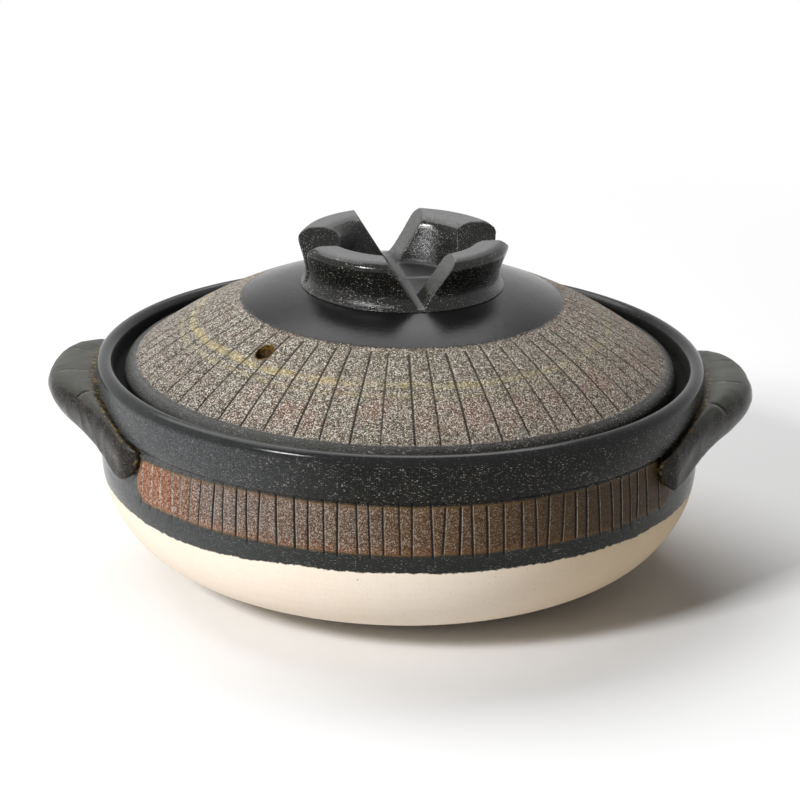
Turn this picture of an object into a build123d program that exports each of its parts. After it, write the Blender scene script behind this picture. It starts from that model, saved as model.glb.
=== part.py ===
from build123d import *
import os
from math import cos, radians, sin, sqrt

# A donabe, the Japanese clay cooking pot: a thrown bowl with a collar and a seat for the lid,
# two ear handles, a domed lid with a steam hole, and a ring knob cut into four petals.
# Millimetres, +Z up, origin on the ground at the bowl's axis, handles along X, front towards -Y.

# Rim and collar of the bowl
rim_radius = 155.0
rim_height = 112.0
lip_width = 8.5
collar_height = 22.5
collar_taper = 1.0
collar_overhang = 2.6
collar_bulge = 0.8

# Belly, foot and wall of the bowl
belly_inset = 2.0
belly_height = 61.0
belly_turn_rise = 9.0
belly_turn_angle = 70.0
foot_radius = 72.0
foot_height = 2.5
foot_ring_width = 13.0
wall_thickness = 10.5
floor_thickness = 10.0

# Lid seat and gutter inside the rim
seat_depth = 11.0
gutter_width = 6.0
gutter_round = 2.5
seat_width = 9.0
seat_lip_height = 6.0

# Lid
border_width = 6.0
border_height = 9.8
border_width_share = 0.25
border_drop_share = 0.33
cap_radius = 82.0
cap_height = 40.4
lid_top_height = 48.6
lid_thickness = 9.0
ceiling_radius = 33.0
lid_edge_round = 2.0
steam_hole_diameter = 9.0
steam_hole_radius = 97.0
steam_hole_bearing = -133.0

# Knob: a thick ring with a chamfered crown, cut into petals
knob_foot_radius = 50.5
knob_neck_radius = 49.0
knob_radius = 54.0
knob_height = 25.6
knob_neck_height = 5.5
knob_brow_drop = 3.8
knob_brow_width = 4.4
crown_width = 8.6
crown_bevel_width = 6.5
crown_bevel_drop = 3.2
knob_inner_slant = 7.0
knob_floor = 1.8
knob_corner_round = 1.2
petal_count = 4
petal_gap = 34.5
petal_foot_gap = 3.5
petal_turn = 11.0
petal_web = 1.2
knob_foot_slope = (-0.3, 1)
knob_brow_slope = (0.3, 1)

# Ear handles: reach beyond the rim at the middle, and how far round the pot each half goes
handle_reach = 25.0
handle_half_angle = 34.0
handle_crest_drop = 7.0
handle_depth = 21.0
handle_thickness = 9.0
leg_thickness = 6.5
leg_crest_rise = 0.5
leg_depth = 21.0
handle_root = 7.0
# Along one half of a handle, from its middle to the tip of its leg: the share of the half angle,
# then how much of the middle's reach, crest, lip and finger hollow is left there
ear_station_shares = [
    (0.0, 1.0, 1.0, 1.0, 1.0),
    (0.2, 0.88, 0.97, 0.95, 1.0),
    (0.37, 0.52, 0.87, 0.85, 0.8),
    (0.54, 0.22, 0.66, 0.68, 0.35),
    (0.71, 0.05, 0.4, 0.35, 0.0),
    (0.86, 0.0, 0.1, 0.04, 0.0),
    (0.95, -0.07, -0.06, 0.25, 0.0),
    (1.0, -0.22, -0.2, 0.6, 0.0),
]
# A handle's section, as shares of its width beyond the belly and of its height above its lip: over
# its crest from the root, under it where it is hollow, and under it where it is solid
root_share = 0.9
crest_shares = [(0.2, 0.96), (0.55, 1.0), (0.86, 0.88), (1.0, 0.6), (0.92, 0.22), (0.74, 0.0)]
hollow_rise_share = 0.3
hollow_brow_share = 0.3
solid_shares = [(0.45, 0.01), (0.2, 0.04)]
solid_root_share = 0.1

# One overrun serves every cut
overrun = 5.0

os.makedirs("parts", exist_ok=True)

# Places that follow from the sizes above
collar_foot_height = rim_height - collar_height
collar_foot_radius = rim_radius - collar_taper
groove_radius = collar_foot_radius - collar_overhang
groove_height = collar_foot_height - collar_overhang
lip_inner_radius = rim_radius - lip_width
belly_radius = rim_radius - belly_inset
belly_turn_radius = belly_height - belly_turn_rise
lip_height = lip_width / 2
seat_height = rim_height - seat_depth
gutter_radius = lip_inner_radius - gutter_round
lid_radius = lip_inner_radius - gutter_width
seat_inner_radius = lid_radius - seat_width
turn_centre_radius = belly_radius - belly_turn_radius
turn_start = radians(belly_turn_angle)
handle_crest_height = rim_height - handle_crest_drop
handle_lip_height = handle_crest_height - handle_depth
leg_crest_height = collar_foot_height + leg_crest_rise
leg_lip_height = leg_crest_height - leg_depth


def polar(centre, radius, angle):
    return (centre[0] + radius * cos(angle), centre[1] + radius * sin(angle))


def bowl_outline():
    """Outside of the bowl from the foot to the lip, as lines in the active BuildLine."""
    turn_centre = (turn_centre_radius, belly_height)
    turn_foot = polar(turn_centre, belly_turn_radius, -turn_start)
    Line((foot_radius, 0), (foot_radius, foot_height))
    TangentArc(turn_foot, (foot_radius, foot_height), tangent=(-sin(turn_start), -cos(turn_start)))
    CenterArc(turn_centre, belly_turn_radius, -belly_turn_angle, belly_turn_angle)
    TangentArc((belly_radius, belly_height), (groove_radius, groove_height), tangent=(0, 1))
    Line((groove_radius, groove_height), (collar_foot_radius, collar_foot_height))
    ThreePointArc(
        (collar_foot_radius, collar_foot_height),
        (rim_radius - collar_taper / 2 + collar_bulge, rim_height - collar_height / 2),
        (rim_radius, rim_height - lip_height),
    )


def inner_turn():
    """Inside of the belly turn: its centre, its radius and the angle at which it meets the floor."""
    return (turn_centre_radius, belly_height), belly_turn_radius - wall_thickness


with BuildPart() as pot_bowl:
    with BuildSketch(Plane.XZ) as bowl_section:
        with BuildLine():
            foot_inner = foot_radius - foot_ring_width
            Polyline((0, foot_height), (foot_inner, foot_height), (foot_inner, 0), (foot_radius, 0))
            bowl_outline()
            lip_mid = rim_radius - lip_width / 2
            ThreePointArc(
                (rim_radius, rim_height - lip_height),
                (lip_mid, rim_height),
                (lip_inner_radius, rim_height - lip_height),
            )
            Line((lip_inner_radius, rim_height - lip_height), (lip_inner_radius, seat_height + gutter_round))
            TangentArc(
                (lip_inner_radius, seat_height + gutter_round), (gutter_radius, seat_height), tangent=(0, -1)
            )
            seat_round = seat_lip_height / 2
            Line((gutter_radius, seat_height), (seat_inner_radius + seat_round, seat_height))
            TangentArc(
                (seat_inner_radius + seat_round, seat_height),
                (seat_inner_radius, seat_height - seat_round),
                tangent=(-1, 0),
            )
            Line((seat_inner_radius, seat_height - seat_round), (seat_inner_radius, seat_height - seat_lip_height))
            centre, radius = inner_turn()
            wall_inside = centre[0] + radius
            wall_top = seat_height - seat_lip_height - (wall_inside - seat_inner_radius)
            Line((seat_inner_radius, seat_height - seat_lip_height), (wall_inside, wall_top))
            Line((wall_inside, wall_top), (wall_inside, belly_height))
            CenterArc(centre, radius, -belly_turn_angle, belly_turn_angle)
            inner_foot = polar(centre, radius, -turn_start)
            floor_height = foot_height + floor_thickness
            TangentArc(inner_foot, (foot_inner, floor_height), tangent=(-sin(turn_start), -cos(turn_start)))
            Polyline((foot_inner, floor_height), (0, floor_height), (0, foot_height))
        make_face()
    revolve(axis=Axis.Z)
pot_bowl.part.label = "pot_bowl"
export_step(pot_bowl.part, "parts/pot_bowl.step")

# Solid within the bowl's outside, which the handles are fitted against
with BuildPart() as bowl_form:
    with BuildSketch(Plane.XZ):
        with BuildLine():
            Line((0, 0), (foot_radius, 0))
            bowl_outline()
            Polyline((rim_radius, rim_height - lip_height), (rim_radius, rim_height + overrun),
                     (0, rim_height + overrun), (0, 0))
        make_face()
    revolve(axis=Axis.Z)


def ear_outline(reach_share, crest_share, lip_share, hollow_share):
    """Section of a handle in an upright plane through the pot's axis, as (radius, height) points."""
    reach = rim_radius + handle_reach
    leg_reach = belly_radius + leg_thickness
    outside = leg_reach + (reach - leg_reach) * reach_share
    crest = leg_crest_height + (handle_crest_height - leg_crest_height) * crest_share
    lip = leg_lip_height + (handle_lip_height - leg_lip_height) * lip_share
    root = belly_radius - handle_root
    width = outside - belly_radius
    height = crest - lip

    def across(width_share):
        return belly_radius + width * width_share

    def up(height_share):
        return lip + height * height_share

    over = [(root, up(root_share))]
    over += [(across(width_share), up(height_share)) for width_share, height_share in crest_shares]
    open_under = [
        (outside - handle_thickness, up(hollow_rise_share)),
        (across(hollow_brow_share), crest - handle_thickness),
        (root, up(root_share) - handle_thickness),
    ]
    closed_under = [(across(width_share), up(height_share)) for width_share, height_share in solid_shares]
    closed_under.append((root, up(solid_root_share)))
    under = []
    for hollow, solid in zip(open_under, closed_under):
        radius = solid[0] + (hollow[0] - solid[0]) * hollow_share
        height_there = solid[1] + (hollow[1] - solid[1]) * hollow_share
        under.append((radius, height_there))
    return over + under


def upright_plane(bearing):
    """Plane through the pot's axis at a bearing in degrees, with x outwards and y upwards."""
    turn = radians(bearing)
    return Plane(origin=(0, 0, 0), x_dir=(cos(turn), sin(turn), 0), z_dir=(sin(turn), -cos(turn), 0))


def ear_handle(bearing):
    """Moulded ear handle whose middle lies at a bearing, cut to fit the bowl's outside."""
    halves = [(-share[0], share[1:]) for share in reversed(ear_station_shares[1:])]
    halves += [(share[0], share[1:]) for share in ear_station_shares]
    with BuildPart() as ear:
        for angle_share, shares in halves:
            with BuildSketch(upright_plane(bearing + handle_half_angle * angle_share)):
                with BuildLine():
                    points = ear_outline(*shares)
                    Spline(*points)
                    Line(points[-1], points[0])
                make_face()
        loft()
        add(bowl_form.part, mode=Mode.SUBTRACT)
    return ear


for name, bearing in (("left_handle", 180.0), ("right_handle", 0.0)):
    handle = ear_handle(bearing)
    handle.part.label = name
    export_step(handle.part, f"parts/{name}.step")

# Lid: the dome is part of a sphere through its border and the edge of its cap
border_radius = lid_radius - border_width
cap_rise = cap_height - border_height
dome_centre = (border_radius**2 - cap_radius**2 - cap_rise**2) / (2 * cap_rise)
dome_radius = sqrt(cap_radius**2 + (dome_centre + cap_rise) ** 2)
dome_base = seat_height + border_height - dome_centre
dome_inner_radius = dome_radius - lid_thickness


def dome_height(radius, sphere_radius):
    return dome_base + sqrt(sphere_radius**2 - radius**2)


with BuildPart() as lid_shell:
    with BuildSketch(Plane.XZ) as lid_section:
        with BuildLine():
            lid_top = seat_height + lid_top_height
            border_top = seat_height + border_height
            cap_edge = seat_height + cap_height
            cap_slope = cap_radius / (cap_edge - dome_base)
            Line((lid_radius - lid_edge_round, seat_height), (lid_radius, seat_height + lid_edge_round))
            Line((lid_radius, seat_height + lid_edge_round), (lid_radius, border_top - border_width))
            ThreePointArc(
                (lid_radius, border_top - border_width),
                (lid_radius - border_width * border_width_share, border_top - border_width * border_drop_share),
                (border_radius, border_top),
            )
            band_radius = (border_radius + cap_radius) / 2
            ThreePointArc(
                (border_radius, border_top),
                (band_radius, dome_height(band_radius, dome_radius)),
                (cap_radius, cap_edge),
            )
            TangentArc((cap_radius, cap_edge), (knob_foot_radius, lid_top), tangent=(-1, cap_slope))
            Line((knob_foot_radius, lid_top), (0, lid_top))
            inner_cap = cap_radius - lid_thickness * cap_radius / dome_radius
            inner_cap_edge = dome_height(inner_cap, dome_inner_radius)
            inner_rim = sqrt(dome_inner_radius**2 - (seat_height - dome_base) ** 2)
            inner_band = (inner_rim + inner_cap) / 2
            ceiling = lid_top - lid_thickness
            Line((0, lid_top), (0, ceiling))
            Line((0, ceiling), (ceiling_radius, ceiling))
            TangentArc((inner_cap, inner_cap_edge), (ceiling_radius, ceiling), tangent=(-1, cap_slope))
            ThreePointArc(
                (inner_cap, inner_cap_edge),
                (inner_band, dome_height(inner_band, dome_inner_radius)),
                (inner_rim, seat_height),
            )
            Line((inner_rim, seat_height), (lid_radius - lid_edge_round, seat_height))
        make_face()
    revolve(axis=Axis.Z)
    hole_turn = radians(steam_hole_bearing)
    with Locations((steam_hole_radius * cos(hole_turn), steam_hole_radius * sin(hole_turn), lid_top)):
        Hole(steam_hole_diameter / 2, depth=lid_top - seat_height)
lid_shell.part.label = "lid_shell"
export_step(lid_shell.part, "parts/lid_shell.step")

# Knob: a thick flared ring with a thin floor, cut across by wedges that leave four petals
with BuildPart() as lid_knob:
    knob_top = lid_top + knob_height
    floor_top = lid_top + knob_floor
    brow = (knob_radius, knob_top - knob_brow_drop)
    crown_outer_radius = knob_radius - knob_brow_width
    crown_inner_radius = crown_outer_radius - crown_width
    knob_inner_radius = crown_inner_radius - crown_bevel_width
    knob_floor_radius = knob_inner_radius - knob_inner_slant
    with BuildSketch(Plane.XZ) as knob_section:
        with BuildLine():
            Line((0, lid_top), (knob_foot_radius, lid_top))
            Spline(
                (knob_foot_radius, lid_top),
                (knob_neck_radius, lid_top + knob_neck_height),
                brow,
                tangents=[knob_foot_slope, knob_brow_slope],
            )
            Polyline(
                brow,
                (crown_outer_radius, knob_top),
                (crown_inner_radius, knob_top),
                (knob_inner_radius, knob_top - crown_bevel_drop),
                (knob_floor_radius, floor_top),
                (0, floor_top),
                (0, lid_top),
            )
        make_face()
        crown = knob_section.vertices().filter_by_position(Axis.X, crown_inner_radius, crown_outer_radius)
        fillet(crown.filter_by_position(Axis.Y, knob_top, knob_top), knob_corner_round)
    revolve(axis=Axis.Z)
    wedge_foot = floor_top - petal_web / 2
    foot_half = petal_foot_gap / 2
    wedge_slope = (petal_gap / 2 - foot_half) / (knob_top - wedge_foot)
    wedge_top = knob_top + overrun
    top_half = foot_half + (wedge_top - wedge_foot) * wedge_slope
    for cut in range(petal_count // 2):
        with BuildSketch(upright_plane(petal_turn + cut * 360 / petal_count)):
            with BuildLine():
                Polyline(
                    (foot_half, wedge_foot),
                    (top_half, wedge_top),
                    (-top_half, wedge_top),
                    (-foot_half, wedge_foot),
                    (foot_half, wedge_foot),
                )
            make_face()
        extrude(amount=knob_radius + overrun, both=True, mode=Mode.SUBTRACT)
lid_knob.part.label = "lid_knob"
export_step(lid_knob.part, "parts/lid_knob.step")
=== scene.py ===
import random
from math import atan2, ceil, comb, cos, hypot, pi, radians, sin, sqrt

import bmesh
import bpy
import numpy as np
from mathutils import Matrix, Vector, noise


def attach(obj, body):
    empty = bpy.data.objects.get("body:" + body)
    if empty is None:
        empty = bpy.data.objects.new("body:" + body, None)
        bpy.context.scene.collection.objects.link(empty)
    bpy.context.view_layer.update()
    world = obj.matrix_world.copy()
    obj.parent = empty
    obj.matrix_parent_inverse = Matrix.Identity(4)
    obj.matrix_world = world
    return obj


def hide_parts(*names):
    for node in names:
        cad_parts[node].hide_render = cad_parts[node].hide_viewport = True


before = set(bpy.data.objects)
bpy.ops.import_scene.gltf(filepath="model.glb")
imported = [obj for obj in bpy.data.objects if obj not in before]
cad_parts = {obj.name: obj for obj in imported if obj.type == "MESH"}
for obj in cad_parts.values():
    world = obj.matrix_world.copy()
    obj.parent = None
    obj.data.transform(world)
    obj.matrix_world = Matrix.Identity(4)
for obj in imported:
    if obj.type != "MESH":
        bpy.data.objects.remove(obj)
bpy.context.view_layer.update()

# Lengths below are in millimetres and become metres when a mesh is made
MM = 0.001

# Sizes shared with the CAD model
RIM_RADIUS, RIM_HEIGHT, LIP_WIDTH = 155.0, 112.0, 8.5
COLLAR_HEIGHT, COLLAR_TAPER, COLLAR_OVERHANG, COLLAR_BULGE = 22.5, 1.0, 2.6, 0.8
BELLY_INSET, BELLY_HEIGHT, BELLY_TURN_RISE, BELLY_TURN_ANGLE = 2.0, 61.0, 9.0, 70.0
FOOT_RADIUS, FOOT_HEIGHT, FOOT_RING_WIDTH = 72.0, 2.5, 13.0
WALL, FLOOR = 10.5, 10.0
SEAT_DEPTH, GUTTER_WIDTH, GUTTER_ROUND, SEAT_WIDTH, SEAT_LIP = 11.0, 6.0, 2.5, 9.0, 6.0
BORDER_WIDTH, BORDER_HEIGHT, CAP_RADIUS, CAP_HEIGHT, LID_TOP = 6.0, 9.8, 82.0, 40.4, 48.6
LID_WALL, LID_EDGE, CEILING_RADIUS = 9.0, 2.0, 33.0
HOLE_DIAMETER, HOLE_RADIUS, HOLE_BEARING = 9.0, 97.0, -133.0
KNOB_FOOT, KNOB_NECK, KNOB_RADIUS, KNOB_HEIGHT, KNOB_NECK_HEIGHT = 50.5, 49.0, 54.0, 25.6, 5.5
BROW_DROP, BROW_WIDTH, CROWN_WIDTH, BEVEL_WIDTH, BEVEL_DROP = 3.8, 4.4, 8.6, 6.5, 3.2
KNOB_SLANT, KNOB_FLOOR = 7.0, 1.8
PETALS, PETAL_GAP, PETAL_FOOT_GAP, PETAL_TURN, PETAL_WEB = 4, 34.5, 3.5, 11.0, 1.2
HANDLE_REACH, HANDLE_HALF_ANGLE, HANDLE_CREST_DROP, HANDLE_DEPTH = 25.0, 34.0, 7.0, 21.0
HANDLE_THICKNESS, LEG_THICKNESS, LEG_CREST_RISE, LEG_DEPTH = 9.0, 6.5, 0.5, 21.0
EAR_STATIONS = [
    (0.0, 1.0, 1.0, 1.0, 1.0),
    (0.2, 0.88, 0.97, 0.95, 1.0),
    (0.37, 0.52, 0.87, 0.85, 0.8),
    (0.54, 0.22, 0.66, 0.68, 0.35),
    (0.71, 0.05, 0.4, 0.35, 0.0),
    (0.86, 0.0, 0.1, 0.04, 0.0),
    (0.95, -0.07, -0.06, 0.25, 0.0),
    (1.0, -0.22, -0.2, 0.6, 0.0),
]

COLLAR_FOOT_HEIGHT = RIM_HEIGHT - COLLAR_HEIGHT
COLLAR_FOOT_RADIUS = RIM_RADIUS - COLLAR_TAPER
GROOVE_RADIUS = COLLAR_FOOT_RADIUS - COLLAR_OVERHANG
GROOVE_HEIGHT = COLLAR_FOOT_HEIGHT - COLLAR_OVERHANG
LIP_INNER = RIM_RADIUS - LIP_WIDTH
BELLY_RADIUS = RIM_RADIUS - BELLY_INSET
BELLY_TURN = BELLY_HEIGHT - BELLY_TURN_RISE
SEAT_HEIGHT = RIM_HEIGHT - SEAT_DEPTH
GUTTER_RADIUS = LIP_INNER - GUTTER_ROUND
LID_RADIUS = LIP_INNER - GUTTER_WIDTH
SEAT_INNER = LID_RADIUS - SEAT_WIDTH

# The scored panels, whose ends are in degrees from the middle and whose top droops on the left
PANEL_LOW, PANEL_HIGH, PANEL_CORNER, PANEL_DROOP = 62.8, 86.0, 8.0, 2.8
PANEL_MIDDLE = (PANEL_LOW + PANEL_HIGH) / 2
PANEL_LEFT_END, PANEL_RIGHT_END = 56.7, 61.5
# Where the glaze ends on the bowl, and how far it sags on the left
GLAZE_LINE, GLAZE_SAG = 53.0, 2.8
BAND_OUTER = LID_RADIUS - BORDER_WIDTH
# Brushed rings on the lid: radius, half width, strength and seed
OCHRE_RINGS = ((105.0, 2.4, 0.8, 82), (111.0, 1.8, 0.3, 83))

# Scored lines: width, depth, burr, and the gaps between them on the panel
SCORE_WIDTH, SCORE_DEPTH, SCORE_BURR = 0.7, 0.6, 0.12
SCORE_GAPS = (5.8, 6.6, 7.4, 7.8, 8.2, 8.6, 9.4, 11.2)
LID_SCORES, LID_SCORE_DEPTH, LID_SCORE_BURR = 58, 0.5, 0.1
# Pinches across a handle: degrees from its middle towards the front, width and depth
PINCHES = ((4.3, 0.22, 0.8), (14.0, 0.26, 1.0), (-6.2, 0.22, 0.5), (-16.0, 0.26, 0.9))

# Specular level of the fired glaze on the bowl and handles, on the knob, and on the duller lid
GLAZE_LEVEL, KNOB_LEVEL, LID_LEVEL = 0.15, 0.3, 0.12
# How much longer round the pot than across the glaze's grains are
GRAIN_STRETCH = 2.6

# The photograph's camera, in metres and degrees, and the lamps: place, aim, size and power
CAMERA_PLACE, CAMERA_PITCH, CAMERA_ROLL = (0, -1.4533, 0.5979), 19.40, 1.1
CAMERA_LENS, SENSOR_WIDTH = 135.0, 36.0
LAMPS = (
    ("key", (-1.2, -1.25, 1.2), (0, 0, 0.08), (0.4, 0.4), 38),
    ("top", (-0.35, 0.7, 1.6), (0, 0, 0.1), (2.0, 1.2), 30),
)
WORLD_LIGHT = 0.12
# The backdrop's white, and the floor's, with how far from the pot it fades to the backdrop's
WHITE, FLOOR_WHITE, FADE_START, FADE_END = (1.0, 1.0, 1.0, 1.0), (0.86, 0.86, 0.86, 1.0), 320.0, 900.0


# ---------------------------- outlines
def polar(centre, radius, angle):
    return (centre[0] + radius * cos(angle), centre[1] + radius * sin(angle))


def line(a, b, step=2.0):
    count = max(1, ceil(hypot(b[0] - a[0], b[1] - a[1]) / step))
    dx, dy = b[0] - a[0], b[1] - a[1]
    return [(a[0] + dx * i / count, a[1] + dy * i / count) for i in range(count + 1)]


def arc_about(centre, radius, start, sweep, step=2.0):
    count = max(4, ceil(abs(sweep) * radius / step))
    return [polar(centre, radius, start + sweep * i / count) for i in range(count + 1)]


def arc_through(a, b, c, step=2.0):
    """Arc from a through b to c."""
    ax, ay, bx, by, cx, cy = *a, *b, *c
    d = 2 * (ax * (by - cy) + bx * (cy - ay) + cx * (ay - by))
    sa, sb, sc = ax**2 + ay**2, bx**2 + by**2, cx**2 + cy**2
    ux = (sa * (by - cy) + sb * (cy - ay) + sc * (ay - by)) / d
    uy = (sa * (cx - bx) + sb * (ax - cx) + sc * (bx - ax)) / d
    angles = [atan2(y - uy, x - ux) for x, y in (a, b, c)]
    sweep = (angles[2] - angles[0]) % (2 * pi)
    if (angles[1] - angles[0]) % (2 * pi) > sweep:
        sweep -= 2 * pi
    return arc_about((ux, uy), hypot(ax - ux, ay - uy), angles[0], sweep, step)


def arc_tangent(a, b, tangent, step=2.0):
    """Arc from a to b that leaves a along tangent."""
    size = hypot(*tangent)
    tx, ty = tangent[0] / size, tangent[1] / size
    dx, dy = b[0] - a[0], b[1] - a[1]
    side = -ty * dx + tx * dy
    if abs(side) < 1e-6:
        return line(a, b, step)
    radius = (dx * dx + dy * dy) / (2 * side)
    centre = (a[0] - ty * radius, a[1] + tx * radius)
    start = atan2(a[1] - centre[1], a[0] - centre[0])
    end = atan2(b[1] - centre[1], b[0] - centre[0])
    sweep = (end - start) % (2 * pi) if radius > 0 else -((start - end) % (2 * pi))
    return arc_about(centre, abs(radius), start, sweep, step)


def trace(start, *legs):
    """Outline from start on. A leg is a corner with the spacing of the points to it, or a run of points."""
    points = [start]
    for leg in legs:
        run = line(points[-1], *leg) if isinstance(leg, tuple) else leg
        points += run[1:] if hypot(run[0][0] - points[-1][0], run[0][1] - points[-1][1]) < 1e-4 else run
    return points


def bezier(controls, count):
    """Curve in count steps from the first control point to the last."""
    last = len(controls) - 1
    curve = []
    for t in (i / count for i in range(count + 1)):
        shares = [comb(last, k) * t**k * (1 - t) ** (last - k) for k in range(last + 1)]
        curve.append(tuple(sum(share * p[k] for share, p in zip(shares, controls)) for k in (0, 1)))
    return curve


def soften(points, corner, reach):
    """The outline with its corner nearest to a place rounded, over a reach on either side of it."""
    away = [hypot(x - corner[0], y - corner[1]) for x, y in points]
    index = away.index(min(away))
    cuts = []
    for way in (-1, 1):
        i, left = index, reach
        while 0 <= i + way < len(points):
            a, b = points[i], points[i + way]
            gap = hypot(b[0] - a[0], b[1] - a[1])
            if gap >= left:
                cuts.append((i + way, tuple(a[k] + (b[k] - a[k]) * left / gap for k in (0, 1))))
                break
            left -= gap
            i += way
    (before, start), (after, end) = cuts
    return points[: before + 1] + bezier((start, points[index], end), 6) + points[after:]


def bowl_outside():
    """Outside of the bowl from the foot to the lip."""
    centre = (BELLY_RADIUS - BELLY_TURN, BELLY_HEIGHT)
    turn = radians(BELLY_TURN_ANGLE)
    turn_foot = polar(centre, BELLY_TURN, -turn)
    under = arc_tangent(turn_foot, (FOOT_RADIUS, FOOT_HEIGHT), (-sin(turn), -cos(turn)))[::-1]
    groove, collar_foot = (GROOVE_RADIUS, GROOVE_HEIGHT), (COLLAR_FOOT_RADIUS, COLLAR_FOOT_HEIGHT)
    points = trace(
        (FOOT_RADIUS, 0),
        ((FOOT_RADIUS, FOOT_HEIGHT), 1.0),
        under,
        arc_about(centre, BELLY_TURN, -turn, turn, 1.4),
        arc_tangent((BELLY_RADIUS, BELLY_HEIGHT), groove, (0, 1), 0.6),
        (collar_foot, 1.0),
        arc_through(
            collar_foot,
            (RIM_RADIUS - COLLAR_TAPER / 2 + COLLAR_BULGE, RIM_HEIGHT - COLLAR_HEIGHT / 2),
            (RIM_RADIUS, RIM_HEIGHT - LIP_WIDTH / 2),
            1.0,
        ),
    )
    points = soften(points, groove, 1.6)
    points = soften(points, collar_foot, 1.3)
    return soften(points, (FOOT_RADIUS, FOOT_HEIGHT), 1.0)


def bowl_profile():
    """Whole outline of the bowl, from the middle of its underside round to the middle of its floor."""
    foot_inner = FOOT_RADIUS - FOOT_RING_WIDTH
    lip_side = RIM_HEIGHT - LIP_WIDTH / 2
    lip_top = (RIM_RADIUS - LIP_WIDTH / 2, RIM_HEIGHT)
    centre, radius = (BELLY_RADIUS - BELLY_TURN, BELLY_HEIGHT), BELLY_TURN - WALL
    turn = radians(BELLY_TURN_ANGLE)
    seat_round = SEAT_LIP / 2
    seat_start = (SEAT_INNER + seat_round, SEAT_HEIGHT)
    wall_inside = centre[0] + radius
    wall_top = SEAT_HEIGHT - SEAT_LIP - (wall_inside - SEAT_INNER)
    inner_foot = polar(centre, radius, -turn)
    floor_height = FOOT_HEIGHT + FLOOR
    points = trace(
        (0, FOOT_HEIGHT),
        ((foot_inner, FOOT_HEIGHT), 6.0),
        ((foot_inner, 0), 1.0),
        ((FOOT_RADIUS, 0), 2.0),
        bowl_outside(),
        arc_through((RIM_RADIUS, lip_side), lip_top, (LIP_INNER, lip_side), 0.8),
        ((LIP_INNER, SEAT_HEIGHT + GUTTER_ROUND), 1.5),
        arc_tangent((LIP_INNER, SEAT_HEIGHT + GUTTER_ROUND), (GUTTER_RADIUS, SEAT_HEIGHT), (0, -1), 0.8),
        (seat_start, 2.0),
        arc_tangent(seat_start, (SEAT_INNER, SEAT_HEIGHT - seat_round), (-1, 0), 0.8),
        ((SEAT_INNER, SEAT_HEIGHT - SEAT_LIP), 1.5),
        ((wall_inside, wall_top), 2.0),
        ((wall_inside, BELLY_HEIGHT), 3.0),
        arc_about(centre, radius, 0, -turn, 3.0),
        arc_tangent(inner_foot, (foot_inner, floor_height), (-sin(turn), -cos(turn)), 4.0),
        ((0, floor_height), 6.0),
    )
    points = soften(points, (foot_inner, 0), 1.2)
    points = soften(points, (FOOT_RADIUS, 0), 1.2)
    points = soften(points, (wall_inside, wall_top), 3.0)
    return soften(points, (SEAT_INNER, SEAT_HEIGHT - SEAT_LIP), 1.2)


CAP_RISE = CAP_HEIGHT - BORDER_HEIGHT
DOME_CENTRE = (BAND_OUTER**2 - CAP_RADIUS**2 - CAP_RISE**2) / (2 * CAP_RISE)
DOME_RADIUS = sqrt(CAP_RADIUS**2 + (DOME_CENTRE + CAP_RISE) ** 2)
DOME_BASE = SEAT_HEIGHT + BORDER_HEIGHT - DOME_CENTRE


def dome_height(radius, sphere):
    return DOME_BASE + sqrt(sphere**2 - radius**2)


def lid_profile():
    """Whole outline of the lid, from the middle of its top round to the middle of its ceiling."""
    top, border_top = SEAT_HEIGHT + LID_TOP, SEAT_HEIGHT + BORDER_HEIGHT
    border_foot = border_top - BORDER_WIDTH
    cap_edge = (CAP_RADIUS, SEAT_HEIGHT + CAP_HEIGHT)
    slope = CAP_RADIUS / (cap_edge[1] - DOME_BASE)
    inner_sphere = DOME_RADIUS - LID_WALL
    inner_cap = CAP_RADIUS - LID_WALL * CAP_RADIUS / DOME_RADIUS
    inner_cap_edge = (inner_cap, dome_height(inner_cap, inner_sphere))
    inner_rim = sqrt(inner_sphere**2 - (SEAT_HEIGHT - DOME_BASE) ** 2)
    band, inner_band = (BAND_OUTER + CAP_RADIUS) / 2, (inner_rim + inner_cap) / 2
    ceiling = top - LID_WALL
    border_bulge = (LID_RADIUS - BORDER_WIDTH * 0.25, border_top - BORDER_WIDTH * 0.33)
    inner_middle = (inner_band, dome_height(inner_band, inner_sphere))
    points = trace(
        (0, top),
        ((KNOB_FOOT, top), 6.0),
        arc_tangent(cap_edge, (KNOB_FOOT, top), (-1, slope), 1.5)[::-1],
        arc_through(cap_edge, (band, dome_height(band, DOME_RADIUS)), (BAND_OUTER, border_top), 1.1),
        arc_through((BAND_OUTER, border_top), border_bulge, (LID_RADIUS, border_foot), 0.8),
        ((LID_RADIUS, SEAT_HEIGHT + LID_EDGE), 1.0),
        ((LID_RADIUS - LID_EDGE, SEAT_HEIGHT), 1.0),
        ((inner_rim, SEAT_HEIGHT), 2.0),
        arc_through((inner_rim, SEAT_HEIGHT), inner_middle, inner_cap_edge, 4.0),
        arc_tangent(inner_cap_edge, (CEILING_RADIUS, ceiling), (-1, slope), 4.0),
        ((0, ceiling), 6.0),
    )
    points = soften(points, (inner_rim, SEAT_HEIGHT), 1.2)
    return soften(points, (LID_RADIUS, border_foot), 0.8)


# ---------------------------- meshes
def add_object(name, data):
    added = bpy.data.objects.new(name, data)
    bpy.context.scene.collection.objects.link(added)
    return added


def new_object(name, vertices, faces, smooth=True):
    mesh = bpy.data.meshes.new(name)
    mesh.from_pydata([(x * MM, y * MM, z * MM) for x, y, z in vertices], [], faces)
    mesh.update()
    if smooth:
        mesh.polygons.foreach_set("use_smooth", [True] * len(mesh.polygons))
    return add_object(name, mesh)


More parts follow.
